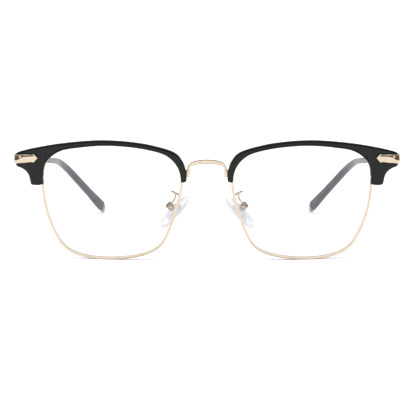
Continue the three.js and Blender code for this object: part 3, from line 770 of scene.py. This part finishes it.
pieces("wire_rim", eyewire(), GOLD, "front", ["eyewire"])
pieces("clear_lens", lens(), CLEAR, "front", ["lens"])
pieces("brow_bar", brow(), BLACK, "front", ["brow"], 60)
pieces("plaque", plaque(), GOLD, "front", ["arrow_plaque"], 60)
# painted shade in the plaque's sunk field
pieces("plaque_field_shade", plaque_field_shade(), PAINTED_SHADE, "front")
pieces("plaque_dot", plaque_crest(), GOLD, "front", ["plaque_rivet"], 60)
pieces("bar", temple_bar(), GOLD, "temple_{}", ["temple_bar"])
pieces("sleeve", temple_tip(), SLATE, "temple_{}", ["temple_tip"], 50)
pieces("pad_cushion", nose_pad(), SILICONE, "pad_{}", ["nose_pad"], 60)
pieces("pad_wire", pad_arm(), SMALL_GOLD, "front", ["pad_arm"])
pieces("pad_holder", pad_box(), SMALL_GOLD, "front", ["pad_box"], 60)
# painted shadow ring under the pad's screw head
pieces("pad_washer", pad_washer(), PAINTED_SHADE, "front")

arch_points, arch_faces = bridge()
arch = place("bridge_arch", (arch_points + DESIGN_SHIFT) * 0.001, arch_faces, GOLD, "front", 60)
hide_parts("bridge")

REPLACED = (
    "eyewire", "lens", "brow_left", "brow_right", "arrow_plaque", "plaque_rivet", "temple_bar", "temple_tip",
    "nose_pad", "pad_arm", "pad_box", "bridge",
)
for name, node in NODES.items():
    if name.startswith(REPLACED):
        continue
    node.data.materials.clear()
    node.data.materials.append(SILICONE if name.startswith("pad_insert") else SMALL_GOLD)
    ease = node.modifiers.new("eased_edges", "BEVEL")
    ease.width = 0.00006
    ease.segments = 2
    ease.limit_method = "ANGLE"
    ease.angle_limit = math.radians(35)
    ease.harden_normals = True
    node.data.polygons.foreach_set("use_smooth", [True] * len(node.data.polygons))
    node.data.set_sharp_from_angle(angle=math.radians(35))

# ------------------------------------------------------------------ stage, light and camera


def pale(name, level, points, faces):
    """A plain pale surface of the stage, with a faint paper grain."""
    mesh = mesh_of(name, points, faces)
    mesh.polygons.foreach_set("use_smooth", [True] * len(mesh.polygons))
    material, nodes, links, bsdf, at = shader(name, IOR=1.45, Roughness=0.9)
    bsdf.inputs["Specular IOR Level"].default_value = 0.1
    low, high = level * 0.99, level
    stops = [(0.3, (low,) * 3), (0.7, (high,) * 3)]
    tint(nodes, links, noise(nodes, links, at, 0.02, 4), stops, bsdf.inputs["Base Color"])
    mesh.materials.append(material)
    made = bpy.data.objects.new(name, mesh)
    bpy.context.scene.collection.objects.link(made)
    return made


def stage():
    """A pale floor, and behind it a sweep that only the camera sees, so it casts no glare on top edges."""
    reach = 1.2
    corners = [(-reach, -reach, 0), (reach, -reach, 0), (reach, reach, 0), (-reach, reach, 0)]
    floor = pale("floor", 0.93, corners, [(0, 1, 2, 3)])
    turn = np.linspace(0, 2 * math.pi, 96, endpoint=False)
    profile = [(reach * 0.98, -0.002)]
    for a in np.linspace(0.1, math.pi / 2, 14):
        profile.append((reach + 0.8 * math.sin(a), 0.8 - 0.8 * math.cos(a)))
    profile.append((reach + 0.8, 2.5))
    rings = [np.column_stack([r * np.cos(turn), r * np.sin(turn), np.full(96, z)]) for r, z in profile]
    sweep = pale("sweep", 0.95, *loft(rings, caps=False))
    sweep.visible_glossy = False
    sweep.visible_diffuse = False
    sweep.visible_transmission = False
    sweep.visible_shadow = False
    floor.visible_glossy = False


def world():
    """Soft studio surroundings: a bright band all round, dark overhead, above the back and underfoot."""
    surround = bpy.data.worlds.new("studio")
    bpy.context.scene.world = surround
    surround.use_nodes = True
    nodes, links = surround.node_tree.nodes, surround.node_tree.links
    where = nodes.new("ShaderNodeTexCoord")
    lean = nodes.new("ShaderNodeVectorMath")
    lean.operation = "DOT_PRODUCT"
    lean.inputs[1].default_value = (0.0, 0.45, 1.0)
    ramp = nodes.new("ShaderNodeValToRGB")
    stops = [(0.0, 0.3), (0.08, 0.4), (0.13, 1.0), (0.7, 1.0), (0.74, 0.14), (0.94, 0.1), (1.0, 0.35)]
    while len(ramp.color_ramp.elements) < len(stops):
        ramp.color_ramp.elements.new(0.5)
    for element, (position, level) in zip(ramp.color_ramp.elements, stops):
        element.position = position
        element.color = (level, level, level, 1)
    height = nodes.new("ShaderNodeMapRange")
    height.inputs["From Min"].default_value = -1.1
    height.inputs["From Max"].default_value = 1.1
    links.new(where.outputs["Generated"], lean.inputs[0])
    links.new(lean.outputs["Value"], height.inputs["Value"])
    links.new(height.outputs["Result"], ramp.inputs["Fac"])
    links.new(ramp.outputs["Color"], nodes["Background"].inputs["Color"])
    nodes["Background"].inputs["Strength"].default_value = 1.0


def lamps():
    for name, energy, angle, turn in (("key", 3.0, 60, (32, 0, -30)), ("fill", 1.6, 70, (40, 0, 150))):
        light = bpy.data.lights.new(name, "SUN")
        light.energy = energy
        light.angle = math.radians(angle)
        lamp = bpy.data.objects.new(name, light)
        lamp.rotation_euler = [math.radians(a) for a in turn]
        lamp.visible_glossy = False
        bpy.context.scene.collection.objects.link(lamp)


def camera():
    """At the height and distance from which the front is seen, looking a little down."""
    data = bpy.data.cameras.new("camera")
    data.sensor_width = 36
    data.lens = 119.2
    data.shift_x = 0.0024
    data.clip_start = 0.01
    made = bpy.data.objects.new("camera", data)
    made.location = (0, (-500 + DESIGN_SHIFT[1]) * 0.001, (80.35 + DESIGN_SHIFT[2]) * 0.001)
    made.rotation_euler = (math.radians(90 - 6.92), 0, 0)
    bpy.context.scene.collection.objects.link(made)
    bpy.context.scene.camera = made


stage()
world()
lamps()
camera()
bpy.context.scene.view_settings.view_transform = "Standard"
